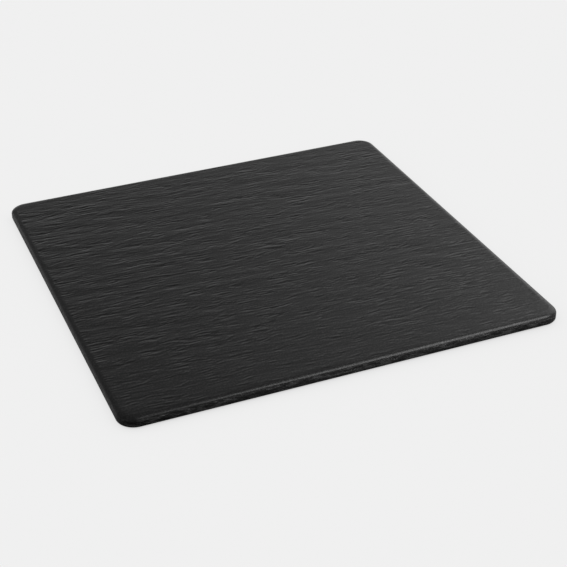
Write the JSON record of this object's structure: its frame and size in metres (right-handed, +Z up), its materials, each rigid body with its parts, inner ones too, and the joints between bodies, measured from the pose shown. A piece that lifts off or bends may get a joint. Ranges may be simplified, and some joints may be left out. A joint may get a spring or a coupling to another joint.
{
  "type": "square serving plate",
  "caption": "Flat rimless square serving plate with rounded corners, soft edges and a riven slate-look top, standing on soft non-slip feet.",
  "frame": {"origin": "middle of the plane that the four feet stand on, under the middle of the slab", "axes": "+Z up out of the serving face, -Y towards the edge nearest the viewer in the picture, +X to the right along that edge and along the grain of the top"},
  "size_m": [0.3, 0.3, 0.0085],
  "materials": {
    "slab": "satin",
    "foot": "matte",
    "adhesive": "matte"
  },
  "bodies": {
    "root": {"plate_body": "slab", "foot_front_left": "foot", "foot_front_right": "foot", "foot_back_left": "foot", "foot_back_right": "foot", "adhesive_front_left": "adhesive", "adhesive_front_right": "adhesive", "adhesive_back_left": "adhesive", "adhesive_back_right": "adhesive"}
  },
  "joints": []
}
